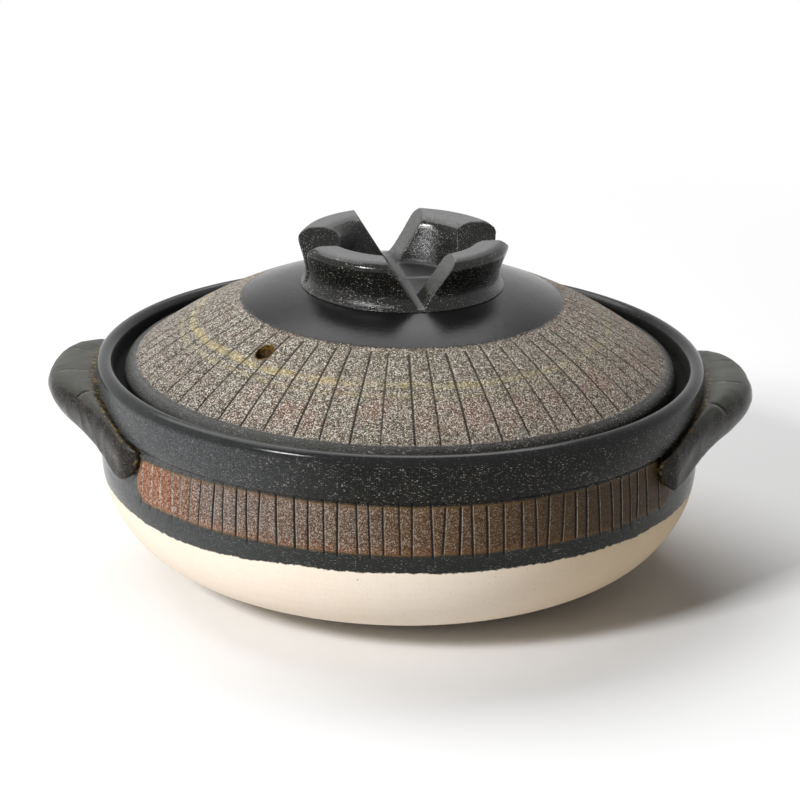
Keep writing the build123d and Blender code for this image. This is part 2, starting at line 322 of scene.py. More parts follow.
def face_outwards(piece):
    work = bmesh.new()
    work.from_mesh(piece.data)
    bmesh.ops.recalc_face_normals(work, faces=work.faces)
    work.to_mesh(piece.data)
    work.free()


def tube(name, start, rings, end):
    """Closed mesh over rings of as many vertices each, drawn to a vertex at its start and its end."""
    size = len(rings[0])
    vertices = [start, *(p for ring in rings for p in ring), end]
    last = len(vertices) - 1 - size
    faces = []
    for i in range(size):
        k = (i + 1) % size
        faces.append((0, 1 + k, 1 + i))
        faces += [(a + i, a + k, a + size + k, a + size + i) for a in range(1, last, size)]
        faces.append((last + i, last + k, last + size))
    piece = new_object(name, vertices, faces)
    face_outwards(piece)
    return piece


def lathe(name, profile, count, place):
    """Closed mesh turned from a profile that starts and ends on the axis. place gives a vertex."""
    rings = [[place(column, r, z) for column in range(count)] for r, z in profile[1:-1]]
    return tube(name, (0, 0, profile[0][1]), rings, (0, 0, profile[-1][1]))


def spread(values, name, piece):
    """One number for each vertex, for the piece's material to read."""
    layer = piece.data.attributes.new(name, "FLOAT", "POINT")
    layer.data.foreach_set("value", values)


def read_vertices(piece, field):
    flat = np.empty(len(piece.data.vertices) * 3)
    piece.data.vertices.foreach_get(field, flat)
    return flat.reshape(-1, 3)


def positions(piece):
    """Each vertex's place, its distance from the pot's axis and its bearing."""
    at = read_vertices(piece, "co") / MM
    return at, np.hypot(at[:, 0], at[:, 1]), np.arctan2(at[:, 1], at[:, 0])


def lid_positions():
    """The same for the lid, and each vertex's distance from the centre of its dome."""
    at, radii, angles = positions(lid)
    return at, radii, angles, np.hypot(radii, at[:, 2] - DOME_BASE)


def move_to(piece, at):
    piece.data.vertices.foreach_set("co", (at * MM).ravel())
    piece.data.update()


class Scores:
    """Lines scored across a band: where each lies round the pot, how it leans, and how far it runs.

    Along is a place's height on the bowl and its radius on the lid."""

    def __init__(self, centres, lean, low, high, raggedness, draw):
        self.centres = sorted(centres)
        self.lean = [draw.uniform(-lean, lean) for _ in self.centres]
        self.low = [low + draw.uniform(-raggedness, raggedness) for _ in self.centres]
        self.high = [high + draw.uniform(-raggedness, raggedness) for _ in self.centres]
        self.strength = [draw.uniform(0.7, 1.0) for _ in self.centres]
        self.middle, self.half = (low + high) / 2, (high - low) / 2

    def reach(self, along):
        """How far along its lean a line is: -1 at its low end, 1 at its high end, 0 well away from it."""
        share = (along - self.middle) / self.half
        return np.clip(share, -1.2, 1.2) * (1 - smooth_step(np.abs(share), 1.3, 2.2))

    def columns(self, offsets, fill):
        """(nearest line's index, next line's index, share between them, offset) for each column."""
        found = []
        total = len(self.centres)
        for index, centre in enumerate(self.centres):
            following = (index + 1) % total
            gap = (self.centres[following] - centre) % (2 * pi)
            found += [(index, following, 0.0, offset) for offset in offsets]
            room = gap - 2 * offsets[-1]
            inner = max(1, ceil(room / fill))
            for step in range(1, inner):
                share = (offsets[-1] + room * step / inner) / gap
                found.append((index, following, share, 0.0))
        return found

    def angle(self, column, along):
        index, following, share, offset = column
        gap = (self.centres[following] - self.centres[index]) % (2 * pi)
        lean = self.lean[index] * (1 - share) + self.lean[following] * share
        return self.centres[index] + offset + gap * share + lean * float(self.reach(along))

    def masks(self, angles, along, radii, width):
        """For each place, how deep in a score it is and how near it is to the edge right of one."""
        deep, edge = np.zeros((2, len(angles)))
        reach = self.reach(along)
        for index, centre in enumerate(self.centres):
            away = angles - centre - self.lean[index] * reach
            distance = ((away + pi) % (2 * pi) - pi) * radii
            near = np.abs(distance) < 6 * width
            if not near.any():
                continue
            run = smooth_step(along[near], self.low[index] - 1.2, self.low[index] + 0.6)
            run *= 1 - smooth_step(along[near], self.high[index] - 0.6, self.high[index] + 1.2)
            run *= self.strength[index]
            deep[near] = np.maximum(deep[near], run * np.exp(-((distance[near] / width) ** 2)))
            side = (distance[near] - 1.2 * width) / (0.4 * width)
            edge[near] = np.maximum(edge[near], run * np.exp(-(side**2)))
        return deep, edge


def smooth_step(value, low, high):
    share = np.clip((value - low) / (high - low), 0, 1)
    return share * share * (3 - 2 * share)


def wander(angle, height, seed, size=1.0):
    """Slow hand-made unevenness round and up a turned piece, from 0 to 1."""
    return 0.5 + 0.5 * noise.noise(Vector((cos(angle) * size + seed, sin(angle) * size, height * 0.03)))


# ---------------------------- bowl
draw = random.Random(7)
score_angles = []
for front in (-pi / 2, pi / 2):
    ends = (PANEL_LEFT_END, PANEL_RIGHT_END) if front < 0 else (PANEL_RIGHT_END, PANEL_LEFT_END)
    place = -radians(ends[0] - 1.5)
    while place < radians(ends[1] - 1.5):
        score_angles.append((front + place) % (2 * pi))
        place += draw.choice(SCORE_GAPS) / BELLY_RADIUS
bowl_scores = Scores(score_angles, 0.75 / BELLY_RADIUS, PANEL_LOW - 1.5, PANEL_HIGH + 1.0, 1.6, draw)

line_columns = [share * SCORE_WIDTH / BELLY_RADIUS for share in (-1.9, -1.2, -0.7, -0.3, 0.3, 0.7, 1.2, 1.9)]
bowl_columns = bowl_scores.columns(line_columns, radians(0.8))


def place_bowl(column, r, z):
    angle = bowl_scores.angle(bowl_columns[column], z)
    share = min(1.0, r / 60)
    r += -0.45 * share * wander(angle, z, 3.0, 1.6)
    z -= 0.25 * share * wander(angle, 0, 9.0, 1.2) if z > SEAT_HEIGHT + 2 else 0
    return (r * cos(angle), r * sin(angle), z)


bowl = lathe("bowl_body", bowl_profile(), len(bowl_columns), place_bowl)
at, radii, angles = positions(bowl)
deep, edge = bowl_scores.masks(angles, at[:, 2], radii, SCORE_WIDTH)
outer = radii > BELLY_RADIUS - 5
deep, edge = deep * outer, edge * outer
push = -SCORE_DEPTH * deep + SCORE_BURR * edge
at[:, 0] += push * np.cos(angles)
at[:, 1] += push * np.sin(angles)
move_to(bowl, at)
spread(deep, "score", bowl)
spread(edge, "burr", bowl)

# ---------------------------- lid
lid_angles = []
for index in range(LID_SCORES):
    lid_angles.append((index + draw.uniform(-0.16, 0.16)) * 2 * pi / LID_SCORES % (2 * pi))
lid_scores = Scores(lid_angles, radians(0.35), CAP_RADIUS + 2.4, BAND_OUTER + 0.5, 1.2, draw)
line_columns = [share * SCORE_WIDTH / BAND_OUTER for share in (-3.4, -1.9, -1.0, -0.4, 0.4, 1.0, 1.9, 3.4)]
lid_columns = lid_scores.columns(line_columns, radians(0.9))


def place_lid(column, r, z):
    angle = lid_scores.angle(lid_columns[column], r)
    share = min(1.0, r / 60)
    z -= 0.35 * share * wander(angle, r, 5.0, 1.4)
    return (r * cos(angle), r * sin(angle), z)


lid = lathe("lid_body", lid_profile(), len(lid_columns), place_lid)
at, radii, angles, sphere = lid_positions()
outer = (sphere > DOME_RADIUS - 4) & (radii > CAP_RADIUS - 6)
deep, edge = lid_scores.masks(angles, radii, radii, SCORE_WIDTH)
push = outer * (-LID_SCORE_DEPTH * deep + LID_SCORE_BURR * edge)
at[:, 0] += push * radii / sphere * np.cos(angles)
at[:, 1] += push * radii / sphere * np.sin(angles)
at[:, 2] += push * (at[:, 2] - DOME_BASE) / sphere
move_to(lid, at)


def apply_modifiers(piece):
    graph = bpy.context.evaluated_depsgraph_get()
    mesh = bpy.data.meshes.new_from_object(piece.evaluated_get(graph))
    piece.modifiers.clear()
    piece.data = mesh


def cut(piece, tool):
    modifier = piece.modifiers.new("cut", "BOOLEAN")
    modifier.operation, modifier.solver, modifier.object = "DIFFERENCE", "MANIFOLD", tool
    apply_modifiers(piece)
    bpy.data.objects.remove(tool)


def prism(ring_a, ring_b):
    """Cutter between two rings of as many points each."""
    sides = len(ring_a)
    faces = [tuple(range(sides)), tuple(range(sides, 2 * sides))]
    faces += [(i, (i + 1) % sides, sides + (i + 1) % sides, sides + i) for i in range(sides)]
    tool = new_object("cutter", ring_a + ring_b, faces, smooth=False)
    face_outwards(tool)
    return tool


def rod(x, y, low, high, radius, sides=48):
    """Upright rod that cuts a round hole."""
    circle = [polar((x, y), radius, 2 * pi * i / sides) for i in range(sides)]
    return prism([(*p, low) for p in circle], [(*p, high) for p in circle])


hole = radians(HOLE_BEARING)
hole_x, hole_y = HOLE_RADIUS * cos(hole), HOLE_RADIUS * sin(hole)
cut(lid, rod(hole_x, hole_y, SEAT_HEIGHT - 5, SEAT_HEIGHT + LID_TOP + 5, HOLE_DIAMETER / 2))
at, radii, angles, sphere = lid_positions()
deep, edge = lid_scores.masks(angles, radii, radii, SCORE_WIDTH)
outer = sphere > DOME_RADIUS - 3
from_hole = np.hypot(at[:, 0] - hole_x, at[:, 1] - hole_y)
spread(deep * outer, "score", lid)
spread(edge * outer, "burr", lid)
spread(1 - smooth_step(from_hole, HOLE_DIAMETER / 2, HOLE_DIAMETER / 2 + 1.2), "hole", lid)

# ---------------------------- knob
def cubic(knots, values, wanted):
    """Natural cubic spline through values at knots, read at wanted places."""
    knots, values = np.asarray(knots, float), np.asarray(values, float)
    n = len(knots)
    h = np.diff(knots)
    matrix, right = np.eye(n), np.zeros((n,) + values.shape[1:])
    for i in range(1, n - 1):
        matrix[i, i - 1 : i + 2] = h[i - 1], 2 * (h[i - 1] + h[i]), h[i]
        right[i] = 6 * ((values[i + 1] - values[i]) / h[i] - (values[i] - values[i - 1]) / h[i - 1])
    bend = np.linalg.solve(matrix, right)
    found = []
    for x in wanted:
        i = min(max(int(np.searchsorted(knots, x)) - 1, 0), n - 2)
        a, b = knots[i + 1] - x, x - knots[i]
        found.append(
            bend[i] * a**3 / (6 * h[i]) + bend[i + 1] * b**3 / (6 * h[i])
            + (values[i] / h[i] - bend[i] * h[i] / 6) * a
            + (values[i + 1] / h[i] - bend[i + 1] * h[i] / 6) * b
        )
    return np.array(found)


knob_base = SEAT_HEIGHT + LID_TOP
knob_top = knob_base + KNOB_HEIGHT
knob_floor = knob_base + KNOB_FLOOR
crown_outer = KNOB_RADIUS - BROW_WIDTH
crown_inner = crown_outer - CROWN_WIDTH
knob_inner = crown_inner - BEVEL_WIDTH
knob_floor_radius = knob_inner - KNOB_SLANT
clay_foot, neck = (KNOB_FOOT + 2.0, knob_base - 0.5), (KNOB_NECK, knob_base + KNOB_NECK_HEIGHT)
brow = (KNOB_RADIUS, knob_top - BROW_DROP)
outer_edge, inner_edge = (crown_outer, knob_top), (crown_inner, knob_top)
bevel_foot, floor_edge = (knob_inner, knob_top - BEVEL_DROP), (knob_floor_radius, knob_floor)
knob_points = trace(
    (0, knob_base),
    ((KNOB_FOOT, knob_base), 4.0),
    (clay_foot, 1.0),
    bezier((clay_foot, (KNOB_FOOT + 0.1, knob_base + 0.5), (KNOB_NECK + 0.2, knob_base + 2.2), neck), 8),
    bezier((neck, (KNOB_NECK + 0.2, knob_base + 11), (KNOB_RADIUS - 2.4, brow[1] - 7), brow), 10),
    (outer_edge, 1.0),
    (inner_edge, 2.0),
    (bevel_foot, 2.0),
    (floor_edge, 2.0),
    ((0, knob_floor), 4.0),
)
eased = ((brow, 2.2), (outer_edge, 1.6), (inner_edge, 1.6), (bevel_foot, 2.2), (floor_edge, 2.0))
for corner, reach in eased:
    knob_points = soften(knob_points, corner, reach)
KNOB_SIDES = 240
knob = lathe("ring_knob", knob_points, KNOB_SIDES,
             lambda column, r, z: (*polar((0, 0), r, 2 * pi * column / KNOB_SIDES), z))

wedge_foot = knob_floor - PETAL_WEB / 2
foot_half = PETAL_FOOT_GAP / 2
wedge_slope = (PETAL_GAP / 2 - foot_half) / (knob_top - wedge_foot)
wedge_top = knob_top + 5
top_half = foot_half + (wedge_top - wedge_foot) * wedge_slope
wedge = ((foot_half, wedge_foot), (top_half, wedge_top), (-top_half, wedge_top), (-foot_half, wedge_foot))
cut_bearings = [radians(PETAL_TURN + turn * 360 / PETALS) for turn in range(PETALS // 2)]
for bearing in cut_bearings:
    c, s = cos(bearing), sin(bearing)
    cut(knob, prism(*([(c * way - s * side, s * way + c * side, z) for side, z in wedge] for way in (-60, 60))))
remesh = knob.modifiers.new("clay", "REMESH")
remesh.mode, remesh.voxel_size, remesh.use_smooth_shade = "VOXEL", 0.55 * MM, True
ease = knob.modifiers.new("ease", "SMOOTH")
ease.factor, ease.iterations = 0.5, 3
apply_modifiers(knob)
knob.data.polygons.foreach_set("use_smooth", [True] * len(knob.data.polygons))

at, radii, _ = positions(knob)
wobble = np.array([noise.noise(Vector(p) * 0.07) for p in at])
inward = 0.35 * np.abs(wobble) * smooth_step(at[:, 2], knob_base + 2, knob_base + 8)
for axis in (0, 1):
    at[:, axis] -= inward * at[:, axis] / np.maximum(radii, 1)
move_to(knob, at)

# ---------------------------- handles
HANDLE_CREST = RIM_HEIGHT - HANDLE_CREST_DROP
HANDLE_LIP = HANDLE_CREST - HANDLE_DEPTH
LEG_CREST = COLLAR_FOOT_HEIGHT + LEG_CREST_RISE
LEG_LIP = LEG_CREST - LEG_DEPTH
# A handle's sections reach this far into the clay of the bowl
ROOT_RADIUS = 148.6
HANDLE_RINGS, OVER_POINTS, ROOT_POINTS = 321, 72, 6


def ear_outline(reach_share, crest_share, lip_share, hollow_share):
    """Section of a handle in an upright plane through the pot's axis, as (radius, height) points."""
    leg_reach = BELLY_RADIUS + LEG_THICKNESS
    outside = leg_reach + (RIM_RADIUS + HANDLE_REACH - leg_reach) * reach_share
    crest = LEG_CREST + (HANDLE_CREST - LEG_CREST) * crest_share
    lip = LEG_LIP + (HANDLE_LIP - LEG_LIP) * lip_share
    width, height = outside - BELLY_RADIUS, crest - lip

    def at_share(across, up):
        return (BELLY_RADIUS + width * across, lip + height * up)

    crest_line = ((0.2, 0.96), (0.55, 1.0), (0.86, 0.88), (1.0, 0.6), (0.92, 0.22), (0.74, 0.0))
    over = [(ROOT_RADIUS, lip + height * 0.9)] + [at_share(across, up) for across, up in crest_line]
    hollow = [
        (outside - HANDLE_THICKNESS, lip + height * 0.3),
        (BELLY_RADIUS + width * 0.3, crest - HANDLE_THICKNESS),
        (ROOT_RADIUS, lip + height * 0.9 - HANDLE_THICKNESS),
    ]
    solid = [at_share(0.45, 0.01), at_share(0.2, 0.04), (ROOT_RADIUS, lip + height * 0.1)]
    under = [tuple(s[k] + (h[k] - s[k]) * hollow_share for k in (0, 1)) for h, s in zip(hollow, solid)]
    return over + under


BOWL_OUTSIDE = bowl_outside()


def bowl_radius_at(heights):
    r, z = np.array(BOWL_OUTSIDE).T
    order = np.argsort(z, kind="stable")
    return np.interp(heights, z[order], r[order])


def ear_handle(name, bearing):
    """Handle whose middle lies at a bearing, as a closed skin through its sections."""
    stations = [(-s[0],) + s[1:] for s in reversed(EAR_STATIONS[1:])] + EAR_STATIONS
    outlines = np.array([ear_outline(*s[1:]) for s in stations])
    shares = np.linspace(-1, 1, HANDLE_RINGS)
    sections = cubic([s[0] for s in stations], outlines.reshape(len(stations), -1), shares)
    rings = []
    for share, flat in zip(shares, sections):
        points = flat.reshape(-1, 2)
        gaps = np.concatenate([[0], np.cumsum(np.hypot(*np.diff(points, axis=0).T))])
        round_it = cubic(gaps, points, np.linspace(0, gaps[-1], OVER_POINTS))
        to_start = round_it[0] - round_it[-1]
        back = [round_it[-1] + to_start * i / ROOT_POINTS for i in range(1, ROOT_POINTS)]
        angle = radians(bearing + HANDLE_HALF_ANGLE * share)
        rings.append([(r * cos(angle), r * sin(angle), z) for r, z in [*round_it, *back]])
    return tube(name, np.mean(rings[0], axis=0), rings, np.mean(rings[-1], axis=0))


def finish_ear(piece, bearing, seed):
    """Lumps, pinches and a fuller back for a handle, and the numbers that its material reads."""
    at, radii, angles = positions(piece)
    angles = (angles - radians(bearing) + pi) % (2 * pi) - pi
    clear = radii - bowl_radius_at(at[:, 2])
    normals = read_vertices(piece, "normal")
    lumps = np.array([noise.noise(Vector(p) * 0.09 + Vector((seed, 0, 0))) for p in at])
    press = 0.5 * np.abs(lumps)
    front = np.degrees(angles) * (1 if bearing else -1)
    creases, folds, burrs = np.zeros((3, len(at)))
    for centre, width, depth in PINCHES:
        away = front - centre + 0.03 * (radii - 168) - 0.04 * (at[:, 2] - 100)
        creases = np.maximum(creases, depth * np.exp(-((away / width) ** 2)))
        folds = np.maximum(folds, depth * np.exp(-((away / 2.0) ** 2)))
        burrs = np.maximum(burrs, depth * np.exp(-(((away - 0.7) / 0.3) ** 2)))
    over = smooth_step(normals[:, 2], 0.1, 0.6) * smooth_step(clear, 2.0, 7.0)
    over *= 1 - smooth_step(clear, 15.0, 21.0)
    press += (0.7 * creases + 0.35 * folds - 0.12 * burrs) * over
    at -= normals * press[:, None]
    # The back of each handle stands a little fuller, and comes down to the rim
    rear = smooth_step(at[:, 1], 4, 30) * (1 - smooth_step(at[:, 1], 52, 74)) * smooth_step(clear, 1.0, 8.0)
    out = np.maximum(0, (normals[:, 0] * at[:, 0] + normals[:, 1] * at[:, 1]) / radii)
    at[:, 2] += 1.8 * rear * smooth_step(normals[:, 2], -0.4, 0.5) * smooth_step(radii, 156, 168)
    at[:, 2] -= 2.6 * smooth_step(at[:, 1], 44, 66) * smooth_step(normals[:, 2], -0.2, 0.6)
    at[:, :2] += (1.4 * rear * out / radii)[:, None] * at[:, :2]
    move_to(piece, at)
    spread(1 - smooth_step(clear + 1.5 * lumps, 0.8, 4.6), "seam", piece)
    spread(creases * over, "crease", piece)
    spread(burrs * over, "burr", piece)
    spread(smooth_step(normals[:, 2], 0.1, 0.8), "crest", piece)


ears = []
for name, bearing, seed in (("ear_left", 180.0, 1.0), ("ear_right", 0.0, 5.0)):
    ears.append(ear_handle(name, bearing))
    finish_ear(ears[-1], bearing, seed)


# ---------------------------- materials
# Fired colours, and painted light and shade, as 0 to 255 sRGB values. First the near-black glaze, with its
# painted glint and painted sheen
INK, BROWN_BLACK, GRIT, PAINTED_GLINT = (5, 5, 4), (17, 14, 8), (62, 62, 56), (190, 192, 188)
LEFT_SHEEN_GREY, LOW_GREY, LIP_GREY, LINE_BLACK = (88, 90, 92), (52, 55, 51), (24, 25, 25), (8, 8, 9)
# The sandy glaze and its tints on the panel, with painted shade on its right and a painted highlight on its
# burrs
SAND, PINK_SAND, ROSY_SAND = (112, 104, 88), (130, 115, 101), (134, 100, 86)
DARK_GRAIN, PALE_GRAIN = (16, 14, 11), (255, 250, 238)
BROWN, MAUVE, GOLDEN, ORANGE = (80, 58, 42), (112, 98, 94), (98, 62, 22), (138, 72, 28)
SHADE_BROWN, CALM_LEFT, CALM_RIGHT = (58, 42, 12), (112, 90, 78), (96, 66, 36)
SHADE_UMBER, BURNT, PANEL_RIM = (36, 27, 8), (146, 80, 34), (112, 84, 44)
PALE_LINE, PANEL_BURR_HIGHLIGHT = (196, 192, 178), (190, 184, 168)
# Bare clay
CLAY, WARM_CLAY, CLAY_GRAIN = (239, 228, 214), (236, 220, 200), (214, 184, 150)
PORE, SHADED_CLAY = (120, 92, 62), (196, 168, 122)
# The lid
RUST, LID_GREY, OCHRE, SOFT_OCHRE = (146, 102, 84), (76, 68, 58), (184, 166, 108), (176, 158, 102)
LID_LEFT_SHEEN, GUTTER_SHADE, CAP_LIGHT, CAP_DARK = (84, 86, 84), (3, 3, 2), (30, 30, 31), (22, 22, 23)
INNER_LINE, OUTER_LINE, LID_BURR_HIGHLIGHT = (48, 46, 42), (14, 14, 14), (206, 194, 168)
HOLE_DARK, HOLE_OCHRE = (16, 12, 6), (150, 112, 44)
# The knob and the handles, grey-olive on their crests partly from wear and partly from painted sheen, with
# painted shade in creases and seams and a painted highlight on crease edges
PALE_WEAR_SHEEN, DARK_WEAR_SHEEN, CUT_OLIVE, RING_FLOOR = (112, 113, 114), (44, 44, 40), (52, 52, 45), (12, 13, 13)
HANDLE_BLACK, OLIVE, DARK_OLIVE, HANDLE_BROWN = (30, 29, 27), (84, 85, 80), (34, 32, 25), (60, 47, 40)
CREASE_SHADE, CREASE_HIGHLIGHT, SEAM_SHADE, SEAM_OCHRE = (8, 8, 7), (150, 148, 136), (20, 17, 10), (132, 108, 54)


def linear(srgb):
    """Linear colour and alpha from 0 to 255 sRGB values."""
    shares = [value / 255 for value in srgb]
    return tuple(s / 12.92 if s <= 0.04045 else ((s + 0.055) / 1.055) ** 2.4 for s in shares) + (1.0,)


class Field:
    """A number or colour that varies over a surface, as a node gives it."""

    def __init__(self, graph, socket):
        self.graph, self.socket = graph, socket

    def __add__(self, other):
        return self.graph.math("ADD", self, other)

    def __sub__(self, other):
        return self.graph.math("SUBTRACT", self, other)

    def __rsub__(self, other):
        return self.graph.math("SUBTRACT", other, self)

    def __mul__(self, other):
        return self.graph.math("MULTIPLY", self, other)

    def __abs__(self):
        return self.graph.math("ABSOLUTE", self)

    __radd__, __rmul__ = __add__, __mul__

    def most(self, other):
        return self.graph.math("MAXIMUM", self, other)

    def step(self, low, high):
        """0 below low to 1 above high, smoothly. High may be the lower of the two."""
        first, last = (1.0, 0.0) if high < low else (0.0, 1.0)
        values = {0: self, 1: min(low, high), 2: max(low, high), 3: first, 4: last}
        return self.graph.made("MapRange", 0, values, interpolation_type="SMOOTHSTEP")


class Graph:
    """Builds the nodes of one material or world, with places in millimetres."""

    def __init__(self, owner):
        owner.use_nodes = True
        self.owner, self.tree = owner, owner.node_tree
        self.tree.nodes.clear()
        metres = self.made("TexCoord", "Object", {})
        self.place = self.made("VectorMath", 0, {0: metres, "Scale": 1 / MM}, operation="SCALE")
        self.x, self.y, self.z = (self.made("SeparateXYZ", index, {0: self.place}) for index in range(3))
        self.radius = self.math("SQRT", self.x * self.x + self.y * self.y)

    def put(self, socket, value):
        if isinstance(value, Field):
            self.tree.links.new(value.socket, socket)
        else:
            socket.default_value = value

    def made(self, kind, output, values, **settings):
        """One output of a new node that has these values in its sockets."""
        node = self.tree.nodes.new("ShaderNode" + kind)
        for name, value in settings.items():
            setattr(node, name, value)
        for key, value in values.items():
            self.put(node.inputs[key], value)
        return Field(self, node.outputs[output])

    def math(self, operation, *values):
        return self.made("Math", 0, dict(enumerate(values)), operation=operation)

    def mix(self, share, a, b):
        """Colour a going over to colour b, each a field or 0 to 255 sRGB values."""
        a, b = (linear(colour) if isinstance(colour, tuple) else colour for colour in (a, b))
        return self.made("Mix", 2, {0: share, 6: a, 7: b}, data_type="RGBA")

    def blend(self, share, a, b):
        """Number a going over to number b."""
        return self.made("Mix", 0, {0: share, 2: a, 3: b})

    def noise(self, seed, size, detail=3.0, rough=0.55, place=None):
        """Noise from about 0 to 1 whose blotches are about size millimetres across."""
        values = {"Vector": place or self.place, "Scale": 1 / size, "W": seed}
        values.update({"Detail": detail, "Roughness": rough})
        return self.made("TexNoise", 0, values, noise_dimensions="4D")

    def sway(self, reach, *noise):
        """Noise as an offset that spans reach about zero."""
        return (self.noise(*noise) - 0.5) * reach

    def specks(self, seed, size, reach=None):
        """Distance to the nearest of many scattered grains, and a number that differs for each.

        With a reach the grains are drawn out round the pot's axis, evenly at that radius."""
        place = self.place
        if reach is not None:
            bearing = self.math("ARCTAN2", self.x, self.y * -1.0)
            place = self.vector(bearing * (reach / GRAIN_STRETCH), self.radius, self.z)
        values = {"Vector": place, "Scale": 1 / size, "W": seed}
        distance = self.made("TexVoronoi", "Distance", values, voronoi_dimensions="4D")
        colour = Field(self, distance.socket.node.outputs["Color"])
        return distance, self.made("SeparateColor", 0, {0: colour})

    def attribute(self, name):
        return self.made("Attribute", "Fac", {}, attribute_name=name)

    def vector(self, x, y, z):
        return self.made("CombineXYZ", 0, {0: x, 1: y, 2: z})

    def surface(self, colour, roughness, height, depth, level):
        """A shader whose surface is raised by a height of up to depth millimetres."""
        normal = self.made("Bump", 0, {"Distance": depth * MM, "Height": height})
        values = {"Base Color": colour, "Roughness": roughness, "Normal": normal, "Specular IOR Level": level}
        return self.made("BsdfPrincipled", 0, values)

    def finish(self, shader, kind="Material"):
        output = self.tree.nodes.new("ShaderNodeOutput" + kind)
        self.put(output.inputs[0], shader)
        return self.owner


def black_glaze(g, seed, reach):
    """Colour, roughness and height of the near-black glaze with its pits, painted glints and brown breaks."""
    fine, broad = g.noise(seed, 0.5, 3.0, 0.75), g.noise(seed + 1, 9.0, 3.0, 0.6)
    grain, which = g.specks(seed + 2, 0.42, reach)
    colour = g.mix(broad.step(0.42, 0.68), INK, BROWN_BLACK)
    colour = g.mix(fine.step(0.5, 0.64) * 0.75, colour, GRIT)
    # Pale dashes drawn out round the pot are painted glints
    glints = grain.step(0.6, 0.25) * which.step(0.6, 1.0)
    colour = g.mix(glints * (broad.step(0.35, 0.62) * 0.5 + 0.15), colour, PAINTED_GLINT)
    roughness = g.noise(seed + 3, 2.2, 2.0) * 0.18 + 0.04
    return colour, roughness, fine + g.noise(seed + 5, 2.4, 2.0) * 1.2 + grain.step(0.1, 0.55) * -0.4


def sandy_glaze(g, seed, pale, tints):
    """Colour and height of the sandy glaze: dark, middling and pale grains over a clouded, tinted ground."""
    ground = g.mix(g.noise(seed, 14).step(0.38, 0.66), SAND, PINK_SAND)
    ground = g.mix(g.noise(seed + 4, 16, 4.0, 0.6).step(0.5, 0.66) * 0.4, ground, ROSY_SAND)
    fine = g.noise(seed + 1, 0.35, 3.0, 0.8)
    coarse, small = g.specks(seed + 2, 0.56)[1], g.specks(seed + 3, 0.4)[1]
    shade = coarse * 0.45 + small * 0.35 + fine.step(0.35, 0.65) * 0.3
    for share, tint in tints:
        ground = g.mix(share, ground, tint)
    colour = g.mix(shade.step(0.42, 0.3), ground, g.mix(0.08, DARK_GRAIN, ground))
    return g.mix(shade.step(0.65, 0.76) * pale, colour, PALE_GRAIN), shade


def left_sheen_share(g, seed, near, far, least, flecks):
    """How much painted sheen greys the near-black glaze, more so to the lit left and in flecks."""
    return g.x.step(near, far) * (g.noise(seed, 0.6, 3.0, 0.8).step(0.42, 0.6) * flecks + least)


def panel_depth(g, ragged):
    """How far a place is outside the rounded panels at the front and the back, less than 0 inside."""
    longer = radians(PANEL_LEFT_END - PANEL_RIGHT_END) * BELLY_RADIUS
    along = g.math("ARCTAN2", abs(g.x), abs(g.y)) * BELLY_RADIUS + g.x.step(-5, 5) * longer
    out = (along + (PANEL_CORNER - radians(PANEL_LEFT_END) * BELLY_RADIUS)).most(0.0)
    rise = g.z - PANEL_MIDDLE
    rise = (rise + g.x.step(-70, -128) * PANEL_DROOP).most(rise * -1.0)
    rise = (rise + (PANEL_CORNER - (PANEL_HIGH - PANEL_LOW) / 2)).most(0.0)
    return g.math("SQRT", out * out + rise * rise) - PANEL_CORNER + ragged * 0.35


def panel_glaze(g):
    """The panel's sandy glaze: orange where it is thin on the left, and darker towards the right from painted
    shade.
    """
    low = (g.z + g.noise(18, 5, 4.0, 0.7) * 14.0).step(76, 70)
    orange = g.x.step(-84, -122).most(low * 0.6)
    golden = (g.noise(17, 22).step(0.4, 0.62) * 0.5).most(g.x.step(-30, 20) * 0.6)
    # Painted shade darkens the panel and dims its pale grains towards the right
    right_shade = g.x.step(-30, 110) * 0.8
    mauve = g.x.step(-30, -70) * g.x.step(-120, -95)
    tints = [(0.75, BROWN), (mauve * 0.6, MAUVE), (golden, GOLDEN), (orange * 0.8, ORANGE)]
    sand, height = sandy_glaze(g, 11, (1.0 - right_shade) * 0.4, tints + [(right_shade, SHADE_BROWN)])
    sand = g.mix(g.x.step(-110, -80) * 0.25, sand, g.mix(g.x.step(-60, 0), CALM_LEFT, CALM_RIGHT))
    sand = g.mix(right_shade * 0.35, sand, SHADE_UMBER)
    return g.mix(g.x.step(-92, -122) * 0.15, sand, BURNT), height


def bare_clay(g):
    """Colour and height of the bare clay, with pores and painted shade on the right."""
    grain = g.noise(41, 0.7, 3.0, 0.7)
    clay = g.mix(g.noise(42, 16), CLAY, WARM_CLAY)
    clay = g.mix(grain.step(0.5, 0.75) * 0.35, clay, CLAY_GRAIN)
    pores, which = g.specks(44, 1.3)
    clay = g.mix(pores.step(0.3, 0.12) * which.step(0.6, 0.7) * g.x.step(-60, 60) * 0.5, clay, PORE)
    # Painted shade on the right
    clay = g.mix(g.x.step(10, 120) * 0.6, clay, SHADED_CLAY)
    rings = g.noise(43, 3.0, 2.0, place=g.vector(0.0, 0.0, g.z))
    return clay, grain * 0.35 + rings * 0.6


